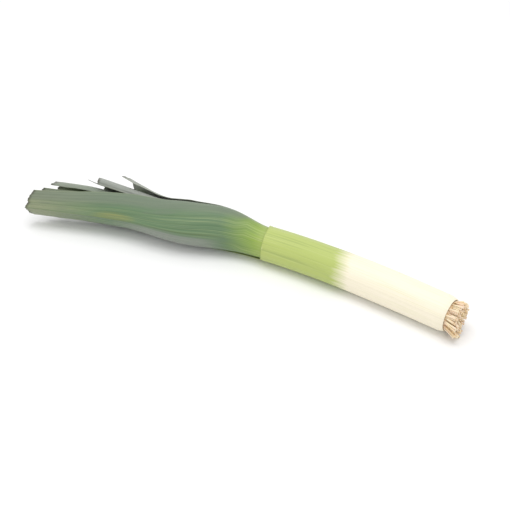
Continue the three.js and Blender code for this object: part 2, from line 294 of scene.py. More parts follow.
def keel_line(leaf, radius, s):
    """How far the keel lies from the stem and how deep the leaf is behind it. The keel moves off by an
    eased step past the mouth, then by a square and a second step; the depth shrinks as the leaf folds."""
    mouth, leaves_at = leaf["mouth"], leaf["leaves_at"]
    past = np.maximum(0, s - leaves_at)
    keel = radius + leaf["set_off"] * over(s, SET_OFF_SPAN, mouth) + leaf["spread"] * past**2
    keel = keel + leaf["drift"] * ease(s, leaves_at, leaves_at + DRIFT_LENGTH)
    folded = over(s, FOLD_SPAN, mouth)
    return keel, np.minimum(keel, keel * (1 - folded) + FOLD_DEPTH * folded)


def leaf_point(leaf, order, s, e):
    """Outer face of a leaf at distance s and angle e round from its keel: a circle in the shank that
    swells, moves off to the keel's side and folds, with powers of the cosine and sine for the fold."""
    mouth = leaf["mouth"]
    radius = SHANK_RADIUS - LEAF_PITCH * order
    keel, depth = keel_line(leaf, radius, s)
    tuck = 1 - FAR_SIDE_TUCK * over(s, TUCK_SPAN, mouth)
    swell = over(s, SWELL_SPAN)
    hump = HUMP_UP * over(s, HUMP_RISE_SPAN) * (1 - over(s, HUMP_FALL_SPAN))
    high = radius + (SWELL_UP + SWELL_PER_LEAF * order) * swell + hump
    low = radius + (SWELL_DOWN + SWELL_PER_LEAF * order) * swell
    sharp = 1 + FOLD_SHARPNESS * over(s, SHARPEN_SPAN, mouth)
    ridge = KEEL_RIDGE * over(s, RIDGE_SPAN, mouth)
    c, n = np.cos(e), np.sin(e)
    near = c >= 0
    out = np.where(near, depth * np.abs(c) ** sharp, radius * tuck * c)
    curl = leaf["curl"] * over(e, CURL_SPAN) * ease(s, leaf["leaves_at"], leaf["tip"])
    across = keel - depth + out + curl + ridge * np.exp(-((e / KEEL_RIDGE_WIDTH) ** 2))
    height = np.where(n >= 0, high, low) * np.where(near, np.sign(n) * np.abs(n) ** sharp, n)
    roll = ROLL_AT_FAN - ROLL_LOST_BY_TIP * over(s, ROLL_SPAN)
    p = leaf["side"] * across * narrowing(s)
    q = height * narrowing(s)
    _, front, up = stem_frame(s)
    sideways = (p * np.cos(roll) - q * np.sin(roll))[..., None]
    upwards = (p * np.sin(roll) + q * np.cos(roll))[..., None]
    return stem_point(s) + front * sideways + up * upwards


def leaf_grid(leaf, order, columns, rows):
    """Two parameters, u from margin to margin and v from the root plate to the cut, give s and e.
    Below the mouth e is pi times u. Through the mouth the edge column follows a rounded corner, and
    beyond it e is u times a margin angle that shrinks to the cut, which is bulged, skewed and ragged."""
    u = np.linspace(-1, 1, columns)[None, :]
    side = np.abs(u)
    mouth = leaf["mouth"]
    start = SHANK_START if order == 0 else SHANK_START + PLATE_TOP + PIECE_GAP + START_PER_LEAF * order
    corner = mouth + MOUTH_CORNER
    tube_rows = int(rows * (mouth - start) / (leaf["tip"] - start))
    blade_rows = rows - tube_rows
    base = np.where(u >= 0, leaf["base"][0], leaf["base"][1]) * DEG
    end = np.where(u >= 0, leaf["end"][0], leaf["end"][1]) * DEG

    v = np.linspace(0, 1, tube_rows + 1)[:, None]
    s_tube = start + (mouth - start) * v + 0 * u
    e_tube = np.pi * u + 0 * v

    w = np.linspace(0, 1, CORNER_ROWS + 1)[1:, None]
    x = np.sin(w * np.pi / 2)
    margin = np.pi - (np.pi - base) * x
    edge = MOUTH_CORNER * (1 - np.cbrt(1 - x**CORNER_POWER))
    middle = MOUTH_CORNER * w
    s_corner = mouth + middle + (edge - middle) * side**CORNER_POWER
    e_corner = u * margin

    w = np.linspace(0, 1, blade_rows + 1)[1:, None]
    length = leaf["tip"] - corner
    bulge = END_BULGE * (side**2 - BULGE_MEAN)
    teeth = leaf["ragged"] * wander(u * TEETH_PITCH, TEETH_SEED + order, TEETH_WAVES)
    scoop = leaf["hollow"] * (side**2 - SCOOP_MEAN)
    extra = leaf["skew"] * u + scoop + teeth + leaf["horn"] * over(u, HORN_SPAN)
    s_blade = corner + length * w - bulge * w**BULGE_POWER + extra * w**CUT_POWER
    e_blade = u * (end + (base - end) * (1 - w) ** MARGIN_POWER)

    s = np.concatenate([s_tube, s_corner, s_blade])
    e = np.concatenate([e_tube, e_corner, e_blade])
    cut = (leaf["tip"] - bulge + extra) - s
    return s, e, np.broadcast_to(u, s.shape), cut, tube_rows


def leaf_faces(leaf, order, sizes, columns, rows):
    """Outer and inner face of a leaf. The outer one is the leaf's surface moved along its normal by low
    ribs and a slow wave that grows to the margins; the inner one lies a wall's thickness inside it."""
    s, e, u, cut, tube_rows = leaf_grid(leaf, order, columns, rows)
    mouth = leaf["mouth"]
    face = leaf_point(leaf, order, s, e)
    along = leaf_point(leaf, order, s + LENGTH_STEP, e) - leaf_point(leaf, order, s - LENGTH_STEP, e)
    around = leaf_point(leaf, order, s, e + ANGLE_STEP) - leaf_point(leaf, order, s, e - ANGLE_STEP)
    normal = unit(np.cross(along, around)) * -leaf["side"]
    open_part = ease(s, mouth + OPEN_AFTER, leaf["tip"])
    slow = wander(s * WAVE_PITCH + WAVE_SLANT * u, WAVE_SEED + order)
    wave = sizes.waviness / MM * open_part * np.abs(u) ** 2 * slow
    sway = RIB_SWAY * wander(s * RIB_SWAY_PITCH, RIB_SEED + order)
    ribs = sizes.rib_height / MM * np.sin(u * RIB_PITCH + sway)
    ribs = ribs * (RIBS_IN_SHANK + RIBS_GAINED * open_part)
    outer = face + normal * (wave + ribs / 2)[..., None]
    thin = over(s, THINNING_SPAN)
    wall = SHEATH_THICKNESS * narrowing(s) * (1 - thin) + BLADE_THICKNESS * thin
    rim = over(s, EDGE_SPAN, mouth) * np.abs(u) ** EDGE_POWER
    wall = wall * (1 - rim) + EDGE_THICKNESS * rim
    return outer, outer - normal * wall[..., None], s, u, cut, tube_rows


def close_sheet(outer, inner, tube_rows, flip):
    """Joins two like grids into one closed wall: quads on both, and a strip round every free edge.
    Where the sheath is closed, the last column is the first one."""
    rows, columns = outer.shape[:2]
    index = np.arange(rows * columns).reshape(rows, columns)
    index[: tube_rows + 1, -1] = index[: tube_rows + 1, 0]
    a, b = index[:-1, :-1].ravel(), index[1:, :-1].ravel()
    c, d = index[1:, 1:].ravel(), index[:-1, 1:].ravel()
    quads = np.stack([a, b, c, d], 1)
    if flip:
        quads = quads[:, ::-1]
    count = rows * columns
    edges = np.concatenate([quads[:, [0, 1]], quads[:, [1, 2]], quads[:, [2, 3]], quads[:, [3, 0]]])
    key = edges[:, 0] * count + edges[:, 1]
    twin = edges[:, 1] * count + edges[:, 0]
    free = edges[~np.isin(key, twin)]
    strip = np.stack([free[:, 1], free[:, 0], free[:, 0] + count, free[:, 1] + count], 1)
    faces = np.concatenate([quads, quads[:, ::-1] + count, strip])
    points = np.concatenate([outer.reshape(-1, 3), inner.reshape(-1, 3)])
    used, faces = np.unique(faces, return_inverse=True)
    return points[used], faces.reshape(-1, 4), used


def make_mesh(name, points, faces, attributes, crease):
    """A mesh from arrays in millimetres, with one number per vertex for each named attribute."""
    mesh = bpy.data.meshes.new(name)
    mesh.vertices.add(len(points))
    mesh.vertices.foreach_set("co", (np.asarray(points, float) * MM).ravel())
    size = faces.shape[1]
    mesh.loops.add(faces.size)
    mesh.loops.foreach_set("vertex_index", faces.ravel().astype(np.int32))
    mesh.polygons.add(len(faces))
    mesh.polygons.foreach_set("loop_start", np.arange(0, faces.size, size, dtype=np.int32))
    mesh.update(calc_edges=True)
    mesh.validate()
    for key, values in attributes.items():
        layer = mesh.attributes.new(key, "FLOAT", "POINT")
        layer.data.foreach_set("value", np.asarray(values, np.float32).ravel())
    mesh.polygons.foreach_set("use_smooth", np.ones(len(mesh.polygons), bool))
    mesh.set_sharp_from_angle(angle=crease * DEG)
    return mesh


def place(name, mesh, material, node):
    """Puts a finished mesh in the scene as a piece that stands for one of the solid parts."""
    piece = bpy.data.objects.new(name, mesh)
    bpy.context.scene.collection.objects.link(piece)
    mesh.materials.append(material)
    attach(piece, BODY)
    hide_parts(node)
    return piece


def colour(red, green, blue):
    """A colour given as it looks on screen, 0 to 255, turned into the linear values of a shader."""
    v = np.array([red, green, blue]) / 255.0
    linear = np.where(v <= 0.04045, v / 12.92, ((v + 0.055) / 1.055) ** 2.4)
    return (*linear.tolist(), 1.0)


class Finish:
    """A material being built from nodes; its methods add nodes and return their outputs."""

    def __init__(self, name):
        self.material = bpy.data.materials.new(name)
        self.material.use_nodes = True
        self.tree = self.material.node_tree
        self.tree.nodes.clear()
        self.output = self.tree.nodes.new("ShaderNodeOutputMaterial")

    def feed(self, node, inputs):
        """Links an input to another node's output, or sets it to a plain value."""
        for key, value in dict(inputs).items():
            if isinstance(value, bpy.types.NodeSocket):
                self.tree.links.new(value, node.inputs[key])
            else:
                node.inputs[key].default_value = value
        return node

    def add(self, kind, inputs=(), **settings):
        node = self.tree.nodes.new(kind)
        for key, value in settings.items():
            setattr(node, key, value)
        return self.feed(node, inputs)

    def attribute(self, name):
        return self.add("ShaderNodeAttribute", attribute_name=name).outputs["Fac"]

    def math(self, operation, *values):
        return self.add("ShaderNodeMath", enumerate(values), operation=operation).outputs[0]

    def times(self, *values):
        """The product of two or more values, taken from the left."""
        product = values[0]
        for value in values[1:]:
            product = self.math("MULTIPLY", product, value)
        return product

    def between(self, value, span, to_low=0.0, to_high=1.0):
        """Runs smoothly from to_low to to_high as the value goes over the span."""
        inputs = {
            "Value": value,
            "From Min": span[0],
            "From Max": span[1],
            "To Min": to_low,
            "To Max": to_high,
        }
        return self.add("ShaderNodeMapRange", inputs, interpolation_type="SMOOTHSTEP").outputs["Result"]

    def vector(self, x, y, z):
        return self.add("ShaderNodeCombineXYZ", {0: x, 1: y, 2: z}).outputs[0]

    def noise(self, vector, scale, detail, roughness):
        inputs = {"Vector": vector, "Scale": scale, "Detail": detail, "Roughness": roughness}
        return self.add("ShaderNodeTexNoise", inputs).outputs["Fac"]

    def mix(self, factor, a, b):
        """The colour a turning into b as the factor goes from 0 to 1."""
        node = self.add("ShaderNodeMix", data_type="RGBA")
        return self.feed(node, {0: factor, 6: a, 7: b}).outputs[2]

    def ramp(self, factor, stops):
        node = self.add("ShaderNodeValToRGB", {"Fac": factor})
        elements = node.color_ramp.elements
        while len(elements) < len(stops):
            elements.new(0.5)
        for element, (position, value) in zip(elements, sorted(stops, key=lambda stop: stop[0])):
            element.position = position
            element.color = value
        return node.outputs["Color"]

    def bump(self, height, strength, distance, normal=None):
        inputs = {"Height": height, "Strength": strength, "Distance": distance}
        if normal is not None:
            inputs["Normal"] = normal
        return self.add("ShaderNodeBump", inputs).outputs["Normal"]

    def surface(self, inputs):
        shader = self.add("ShaderNodeBsdfPrincipled", inputs)
        self.tree.links.new(shader.outputs[0], self.output.inputs["Surface"])
        return self.material


# The looks of a leaf. Lengths along it are shares of LENGTH_SCALE in millimetres. Across, a leaf runs from
# -1 at its lower margin over 0 at the keel to 1 at its upper one. A pick is the range of a noise's values
# that shows.
LENGTH_SCALE = 500.0

# Noises on a circle round the stem: how fine round it and along it, their detail, and a shift of their own.
STREAKS = (8.0, 5.0, 3.0, 0.0)
FINE_VEINS = (26.0, 7.0, 2.0, 1.7)
BROAD_PATCHES = (1.8, 14.0, 2.0, 3.1)
NOISE_ROUGHNESS = 0.55
NOISE_SHIFT_PER_LEAF = 7.0
NOISE_MIDDLE = 0.5

# Greens by length, from cream over pale, fresh and blade green to the faded one. The outermost leaf has its
# own stops; the others' first ones are counted from where they show.
FEATHER_BY_STREAKS = 0.045
FEATHER_BY_PATCHES = 0.02
FEATHER_SLANT = -0.006
SHANK_STOPS = (0.0, 0.212, 0.246, 0.41, 0.46, 0.53, 0.8)
SHOWN_STOPS = (-0.10, -0.03, 0.02, 0.09)
FADE_STOPS = (0.74, 0.88)
GREEN_SPAN = (-0.02, 0.04)
BLADE_SPAN = (0.05, 0.14)
SHANK_BLADE_SPAN = (0.42, 0.5)

# Veins, light and dark.
LIGHT_VEIN = colour(214, 220, 160)
LIGHT_VEIN_PICK = (0.5, 0.68)
LIGHT_VEIN_IN_WHITE = 0.3
LIGHT_VEIN_IN_GREEN = 0.2
DARK_VEIN = colour(70, 100, 58)
DARK_VEIN_PICK = (0.5, 0.36)
DARK_VEIN_ON_SHANK = 0.2
DARK_VEIN_ON_BLADES = 0.36

# Grey wax by the upper margin, on the shoulder, in patches and in a band below the keel. By the upper
# margin and on the shoulder the grey is also a painted sheen of the white surroundings seen at a grazing
# angle, and the band below the keel is also a painted reflection of the white floor.
UPPER_WAX_AND_SHEEN = colour(112, 122, 106)
UPPER_SPAN = (0.5, 0.95)
UPPER_STRENGTH = 0.85
UPPER_FADE_SPAN = (0.85, 0.60)
UPPER_AT_END = 0.5
SHOULDER_SPAN = (0.42, 0.68)
SHOULDER_STRENGTH = 0.85
PATCH_PICK = (0.48, 0.72)
PATCH_STRENGTH = 0.5
# Painted reflection: the band below the keel is greyed for the white floor seen at a grazing angle, over
# some wax.
LOWER_WAX_AND_FLOOR_REFLECTION = colour(142, 145, 138)
LOWER_SPAN = (-0.07, -0.2)
LOWER_STRENGTH = 0.9
LOWER_RISE_SPAN = (0.47, 0.54)
LOWER_FADE_SPAN = (0.76, 0.62)

# Marks: the keel's line, a sunned oval on one leaf, painted shade on the inner face, a grey lip that is a
# painted highlight on the lit upper margin, the mouth's pale rim, whose fade is counted from the mouth, and
# the dried cut, which on leaf_5 is painted shade.
KEEL_LINE = colour(84, 104, 58)
KEEL_SPAN = (0.04, 0.004)
KEEL_STRENGTH = 0.5
SUNNED = colour(158, 152, 76)
SUN_LEAF = 1
SUN_LENGTH = 0.715
SUN_LENGTH_TIGHTNESS = 16.0
SUN_ACROSS = 0.1
SUN_ACROSS_TIGHTNESS = 4.5
SUN_STRENGTH = 0.5
SUN_VEIN_PICK = (0.35, 0.6)
SUN_BETWEEN_VEINS = 0.25
# Painted shade: the inner face is darkened for the shadow between the leaves.
INNER_SHADE = colour(84, 104, 74)
INNER_SHADE_STRENGTH = 0.3
# Painted highlight: the grey lip lightens the upper half where the waxy margin faces the light.
LIT_LIP_GREY = colour(146, 150, 142)
LIT_LIP_SPAN = (0.2, 0.5)
RIM = colour(212, 220, 160)
RIM_SPAN = (0.955, 1.0)
RIM_FROM = -0.5
RIM_FADE_SPAN = (0.10, 0.03)
RIM_STRENGTHS = (0.1, 0.6)
# Dried brown at the cuts; on leaf_5 the same colour is painted shade.
DRIED_AND_SHADE = colour(70, 68, 54)
DRIED_AND_SHADE_PICK = (0.3, 0.6)
DRIED_AND_SHADE_STRENGTHS = (0.5, 0.95)

# Bumps as strength and distance in metres, roughness from streak to streak, and the wax's sheen.
VEIN_BUMP = (0.35, 0.0006)
STREAK_BUMP = (0.35, 0.0009)
ROUGHNESS_PICK = (0.3, 0.7)
LEAF_ROUGHNESS = (0.42, 0.6)
LEAF_GLOSS = 0.45
WAX_SHEEN = 0.2
WAX_SHEEN_ROUGHNESS = 0.45


class LeafFinish(Finish):
    """Waxy leaf: white in the shank, then pale green, yellow green and blue green by the distance from
    the roots, with fine veins along it, a grey bloom in patches and by the margins, which by the upper
    margin is also a painted sheen and under the keel a painted reflection of the floor, painted shade on
    the inner face, a painted highlight on the upper half of some leaves, a paler rim and a dried cut end,
    which on one leaf is painted shade. The veins are noise on a circle round the stem, drawn out along it."""

    def __init__(self, leaf, order, colours):
        super().__init__(leaf["node"] + "_skin")
        self.leaf, self.order, self.colours = leaf, order, colours
        self.length = self.attribute("length_way")
        self.across = self.attribute("vein_way")
        turn = self.times(self.across, float(np.pi))
        self.sine = self.math("SINE", turn)
        self.cosine = self.math("COSINE", turn)
        self.streaks = self.around_stem(*STREAKS)
        self.fine = self.around_stem(*FINE_VEINS)
        self.broad = self.around_stem(*BROAD_PATCHES)
        shown = leaf["shown"] / LENGTH_SCALE
        self.green = self.between(self.length, shifted(GREEN_SPAN, shown))
        blade_span = shifted(BLADE_SPAN, shown) if order else SHANK_BLADE_SPAN
        self.blade = self.between(self.length, blade_span)

    def around_stem(self, around_scale, length_scale, detail, shift):
        """Noise at the point (cosine, sine, length) of a tube round the stem, each scaled."""
        shift = NOISE_SHIFT_PER_LEAF * self.order + shift
        where = self.vector(
            self.times(self.cosine, around_scale),
            self.times(self.sine, around_scale),
            self.math("MULTIPLY_ADD", self.length, length_scale, shift),
        )
        return self.noise(where, 1.0, detail, NOISE_ROUGHNESS)

    def feathered_length(self):
        """The length with a part of the noises and of the sine added, so that no colour ends in a ring."""
        streaks = self.times(self.math("SUBTRACT", self.streaks, NOISE_MIDDLE), FEATHER_BY_STREAKS)
        broad = self.times(self.math("SUBTRACT", self.broad, NOISE_MIDDLE), FEATHER_BY_PATCHES)
        feather = self.math("ADD", streaks, broad)
        feather = self.math("ADD", feather, self.times(self.sine, FEATHER_SLANT))
        return self.math("ADD", self.length, feather)

    def greens(self):
        """The ground colour: a ramp over the feathered length."""
        chosen = self.colours
        cream, pale = (*chosen.shank, 1.0), (*chosen.pale_green, 1.0)
        fresh, blade = (*chosen.fresh_green, 1.0), (*chosen.blade_green, 1.0)
        faded = (*chosen.end_green, 1.0)
        shown = self.leaf["shown"] / LENGTH_SCALE
        if self.order == 0:
            stops = zip(SHANK_STOPS, (cream, cream, pale, pale, fresh, blade, faded))
        else:
            stops = zip(
                (0.0, *(shown + step for step in SHOWN_STOPS), *FADE_STOPS),
                (cream, cream, pale, fresh, blade, blade, faded),
            )
        return self.ramp(self.feathered_length(), list(stops))

    def veins(self, base):
        """Light veins where the fine noise is high, dark ones where the streaks are low."""
        strength = self.between(self.green, (0.0, 1.0), LIGHT_VEIN_IN_WHITE, LIGHT_VEIN_IN_GREEN)
        base = self.mix(self.times(self.between(self.fine, LIGHT_VEIN_PICK), strength), base, LIGHT_VEIN)
        strength = self.times(self.green, DARK_VEIN_ON_BLADES if self.order else DARK_VEIN_ON_SHANK)
        return self.mix(self.times(self.between(self.streaks, DARK_VEIN_PICK), strength), base, DARK_VEIN)

    def wax_and_reflection(self, base):
        """Grey wax: by the upper margin, on the shoulder and in patches, and a paler band under the keel.
        By the upper margin and on the shoulder the grey is also a painted sheen of the white surroundings,
        and the band under the keel is a painted reflection of the white floor on the wax. The outermost
        leaf has none."""
        wax_and_reflection_amount = self.colours.wax_and_reflection if self.order else 0.0
        # Painted sheen: grey by the upper margin and on the shoulder, on top of real wax; the patches are
        # wax.
        upper = self.times(self.between(self.across, UPPER_SPAN, 0.0, UPPER_STRENGTH), self.blade)
        upper = self.times(upper, self.between(self.length, UPPER_FADE_SPAN, UPPER_AT_END, 1.0))
        shoulder = self.times(self.between(self.across, SHOULDER_SPAN, 0.0, SHOULDER_STRENGTH), self.green)
        patches = self.times(self.between(self.broad, PATCH_PICK, 0.0, PATCH_STRENGTH), self.blade)
        above = self.math("MAXIMUM", self.math("MAXIMUM", upper, shoulder), patches)
        base = self.mix(self.times(above, wax_and_reflection_amount), base, UPPER_WAX_AND_SHEEN)
        # Painted reflection: the band under the keel stands for the white floor at a grazing angle, over
        # some wax.
        lower = self.times(
            self.between(self.across, LOWER_SPAN, 0.0, LOWER_STRENGTH),
            self.between(self.length, LOWER_RISE_SPAN),
            self.between(self.length, LOWER_FADE_SPAN),
        )
        return self.mix(self.times(lower, wax_and_reflection_amount), base, LOWER_WAX_AND_FLOOR_REFLECTION)

    def keel(self, base):
        """A thin darker line along the keel."""
        keel = self.times(self.between(self.math("ABSOLUTE", self.across), KEEL_SPAN), self.blade)
        return self.mix(self.times(keel, KEEL_STRENGTH), base, KEEL_LINE)

    def sun_patch(self, base):
        """A yellowed oval by the keel: one minus the squared distances from its middle, kept above zero."""
        lengthways = self.times(self.math("SUBTRACT", self.length, SUN_LENGTH), SUN_LENGTH_TIGHTNESS)
        crossways = self.times(self.math("SUBTRACT", self.across, SUN_ACROSS), SUN_ACROSS_TIGHTNESS)
        height = self.math("SUBTRACT", 1.0, self.math("POWER", lengthways, 2.0))
        height = self.math("SUBTRACT", height, self.math("POWER", crossways, 2.0))
        patch = self.between(height, (0.0, 1.0), 0.0, SUN_STRENGTH)
        veins = self.between(self.fine, SUN_VEIN_PICK, SUN_BETWEEN_VEINS, 1.0)
        return self.mix(self.times(patch, veins), base, SUNNED)

    def shaded_inner_face(self, base):
        """Painted shade: the inner face darkened for the shadow that falls between the leaves."""
        return self.mix(self.times(self.attribute("inside"), INNER_SHADE_STRENGTH), base, INNER_SHADE)

    def lit_lip(self, base):
        """Painted highlight: the upper half of a leaf lightened to grey where its waxy margin faces the
        light.
        """
        lit_lip = self.times(self.between(self.across, LIT_LIP_SPAN, 0.0, self.leaf["lit_lip"]), self.blade)
        return self.mix(lit_lip, base, LIT_LIP_GREY)

    def rim(self, base):
        """A pale rim round the mouth that fades along the blade."""
        mouth = self.leaf["mouth"] / LENGTH_SCALE
        fade = self.between(self.length, shifted(RIM_FADE_SPAN, mouth), *RIM_STRENGTHS)
        return self.mix(self.times(self.attribute("rim_way"), fade), base, RIM)

    def dried_and_shaded_end(self, base):
        """Brown at the cut, in patches: a dried cut, which on leaf_5 is stretched over its long end as
        painted shade for its unlit underside.
        """
        near_cut = self.between(self.attribute("cut_way"), (self.leaf["dried_and_shaded"] / LENGTH_SCALE, 0.0))
        patches = self.between(self.broad, DRIED_AND_SHADE_PICK, *DRIED_AND_SHADE_STRENGTHS)
        return self.mix(self.times(near_cut, patches), base, DRIED_AND_SHADE)

    def finished(self):
        base = self.keel(self.wax_and_reflection(self.veins(self.greens())))
        if self.order == SUN_LEAF:
            base = self.sun_patch(base)
        base = self.shaded_inner_face(base)
        if self.leaf["lit_lip"]:
            base = self.lit_lip(base)
        base = self.dried_and_shaded_end(self.rim(base))
        normal = self.bump(self.streaks, *STREAK_BUMP, self.bump(self.fine, *VEIN_BUMP))
        return self.surface({
            "Base Color": base,
            "Roughness": self.between(self.streaks, ROUGHNESS_PICK, *LEAF_ROUGHNESS),
            "Specular IOR Level": LEAF_GLOSS,
            "Sheen Weight": WAX_SHEEN,
            "Sheen Roughness": WAX_SHEEN_ROUGHNESS,
            "Normal": normal,
        })


def build_leaf(leaf, order, sizes, colours):
    """One leaf as a closed wall. Its attributes hold the length, the way across, the distance to the cut,
    which face it is and how near the rim it is."""
    columns, rows = FINE_GRID if order < SHOWN_LEAVES else PLAIN_GRID
    outer, inner, s, u, cut, tube_rows = leaf_faces(leaf, order, sizes, columns, rows)
    points, faces, used = close_sheet(outer, inner, tube_rows, leaf["side"] > 0)

    def per_vertex(on_outer, on_inner):
        return np.concatenate([on_outer.ravel(), on_inner.ravel()])[used]

    rim = over(np.abs(u), RIM_SPAN) * (s > leaf["mouth"] + RIM_FROM)
    attributes = {
        "length_way": per_vertex(s, s) / LENGTH_SCALE,
        "vein_way": per_vertex(u, u),
        "cut_way": per_vertex(cut, cut) / LENGTH_SCALE,
        "inside": per_vertex(np.zeros(s.size), np.ones(s.size)),
        "rim_way": per_vertex(rim, rim),
    }
    mesh = make_mesh(leaf["node"] + "_shape", points, faces, attributes, LEAF_CREASE)
    material = LeafFinish(leaf, order, colours).finished()
    return place(leaf["node"] + "_skin", mesh, material, leaf["node"])


# The looks of the roots. Each noise is given by its scale, detail and roughness.
ROOT_TONES = [(0.0, colour(236, 208, 166)), (0.45, colour(248, 230, 192)), (1.0, colour(253, 242, 214))]
ROOT_GRAIN = (1400.0, 3.0, 0.6)
ROOT_PATCHES = (160.0, 2.0, 0.5)
ROOT_FOOT = colour(196, 158, 112)
ROOT_FOOT_SPAN = (0.4, 0.0)
ROOT_FOOT_STRENGTH = 0.45
ROOT_BLUSH = colour(248, 222, 204)
ROOT_PATCH_PICK = (0.42, 0.62)
ROOT_PATCH_STRENGTH = 0.6
ROOT_FIBRE = colour(190, 152, 106)
ROOT_GRAIN_STRENGTH = 0.18
ROOT_BUMP = (0.5, 0.0004)
ROOT_ROUGHNESS = 0.8
ROOT_GLOSS = 0.25


def root_threads(count, length, seed):
    """Cut roots: each is a tube whose centre line leaves the plate, splays outwards and bends a little,
    with a radius that swells at the cut. Returns rings of points for all of them at once."""
    rng = np.random.default_rng(seed)
    turn = np.arange(count) * GOLDEN_TURN + rng.uniform(-TURN_SCATTER, TURN_SCATTER, count)
    start = ROOT_BED * np.sqrt((np.arange(count) + 0.5) / count)
    height = (ROOT_SHORTEST + ROOT_LENGTH_SCATTER * rng.random(count)) * length
    height = height * (MIDDLE_ROOT_LENGTH - OUTER_ROOT_LOSS * start / ROOT_BED)
    height = height * (1 + LONG_ROOTS_GAIN * over(start * np.cos(turn - LONG_ROOTS_AT), LONG_ROOTS_SPAN))
    lean = ROOT_SPLAY * start / ROOT_BED + rng.uniform(-ROOT_LEAN_SCATTER, ROOT_LEAN_SCATTER, count)
    bend = rng.uniform(-ROOT_BEND, ROOT_BEND, count)
    radius = rng.uniform(*ROOT_RADII, count)

    t = np.linspace(0, 1, ROOT_RINGS)[None, :]
    turn, start, height = turn[:, None], start[:, None], height[:, None]
    lean, bend, radius = lean[:, None], bend[:, None], radius[:, None]
    radial = start + np.sin(lean) * height * t
    outwards = -ROOT_SUNK + (height + ROOT_SUNK) * t * np.cos(lean)
    x = radial * np.cos(turn) - bend * np.sin(turn) * t**2
    y = radial * np.sin(turn) + bend * np.cos(turn) * t**2
    off_parting = x + PARTING_AT
    parting = PARTING * np.exp(-np.abs(off_parting) / PARTING_WIDTH) * np.sign(off_parting)
    parting = parting * over(-y, PARTING_SPAN)
    centre = np.stack([x + parting * t, y, -outwards], -1)
    thick = radius * (ROOT_FOOT_SIZE + ROOT_TIP_GAIN * t + ROOT_KNOB * np.sin(ROOT_KNOB_PITCH * t + turn))

    around = np.linspace(0, 2 * np.pi, ROOT_SIDES, endpoint=False)
    tangent = unit(np.gradient(centre, axis=1))
    side = unit(np.cross(tangent, np.array(ROOT_SIDE_HINT)))
    other = np.cross(tangent, side)
    ring = side[:, :, None] * np.cos(around)[:, None] + other[:, :, None] * np.sin(around)[:, None]
    points = centre[:, :, None] + ring * thick[:, :, None, None]
    tone = np.broadcast_to(rng.random(count)[:, None, None], points.shape[:3])
    tip = np.broadcast_to(t[:, :, None], points.shape[:3])
    return points, tone, tip


def tube_faces(count, rings, sides):
    """Quads of many like tubes, with both ends closed by two quads across a six-sided ring."""
    index = np.arange(count * rings * sides).reshape(count, rings, sides)
    after = np.roll(index, -1, axis=2)
    wall = np.stack([index[:, :-1], after[:, :-1], after[:, 1:], index[:, 1:]], -1).reshape(-1, 4)
    last, first = index[:, -1], index[:, 0]
    caps = [last[:, [0, 1, 2, 3]], last[:, [0, 3, 4, 5]], first[:, [3, 2, 1, 0]], first[:, [5, 4, 3, 0]]]
    return np.concatenate([wall, *caps])


def to_root_end(points):
    """Turns points given across, across and along the stem into place at the root end."""
    along, front, up = stem_frame(SHANK_START)
    across = points[..., :1] * front + points[..., 1:2] * up
    return stem_point(SHANK_START) + across + points[..., 2:3] * along


def plate_surface(columns, rows):
    """The root plate: a profile turned about the stem, with lumps on its outer face, and a pinhole at
    either pole."""
    t = np.linspace(0, len(PLATE_PROFILE) - 1, rows)
    corner = np.arange(len(PLATE_PROFILE))
    r = np.interp(t, corner, PLATE_PROFILE[:, 0])[:, None]
    along = np.interp(t, corner, PLATE_PROFILE[:, 1])[:, None]
    a = np.linspace(0, 2 * np.pi, columns, endpoint=False)[None, :]
    lump = wander(PLATE_LUMP_TURNS * np.cos(a) + r * PLATE_LUMP_PITCH, PLATE_LUMP_SEED)
    lump = PLATE_LUMPS * lump * (along < 0)
    return np.stack([r * np.cos(a), r * np.sin(a), along + lump], -1)


def root_finish():
    """Dry cut root: tan with a paler and a browner tone from root to root, darker at its foot, fibrous."""
    finish = Finish("cut_roots")
    tone, tip = finish.attribute("tone"), finish.attribute("tip_way")
    where = finish.add("ShaderNodeTexCoord").outputs["Object"]
    grain = finish.noise(where, *ROOT_GRAIN)
    patch = finish.noise(where, *ROOT_PATCHES)
    base = finish.ramp(tone, ROOT_TONES)
    base = finish.mix(finish.between(tip, ROOT_FOOT_SPAN, 0.0, ROOT_FOOT_STRENGTH), base, ROOT_FOOT)
    base = finish.mix(finish.between(patch, ROOT_PATCH_PICK, 0.0, ROOT_PATCH_STRENGTH), base, ROOT_BLUSH)
    base = finish.mix(finish.times(grain, ROOT_GRAIN_STRENGTH), base, ROOT_FIBRE)
    return finish.surface({
        "Base Color": base,
        "Roughness": ROOT_ROUGHNESS,
        "Specular IOR Level": ROOT_GLOSS,
        "Normal": finish.bump(grain, *ROOT_BUMP),
    })


def build_roots(sizes):
    """The root plate and every root in one mesh. A ring that comes too near the floor is lifted."""
    points, tone, tip = root_threads(sizes.root_count, sizes.root_length / MM, ROOT_SEED)
    count, rings, sides = points.shape[:3]
    points = to_root_end(points)
    points[..., 2] += np.maximum(0, ROOT_CLEARANCE - points[..., 2].min(axis=2, keepdims=True))
    faces = tube_faces(count, rings, sides)
    plate = plate_surface(*PLATE_GRID)
    rows, columns = plate.shape[:2]
    index = np.arange(rows * columns).reshape(rows, columns) + count * rings * sides
    after = np.roll(index, -1, axis=1)
    wall = np.stack([index[:-1], index[1:], after[1:], after[:-1]], -1).reshape(-1, 4)
    everything = np.concatenate([points.reshape(-1, 3), to_root_end(plate).reshape(-1, 3)])
    attributes = {
        "tone": np.concatenate([tone.ravel(), np.full(rows * columns, PLATE_TONE)]),
        "tip_way": np.concatenate([tip.ravel(), np.zeros(rows * columns)]),
    }
    mesh = make_mesh("roots_shape", everything, np.concatenate([faces, wall]), attributes, ROOT_CREASE)
    close_poles(mesh)
    return place("root_tuft", mesh, root_finish(), "root_plate")


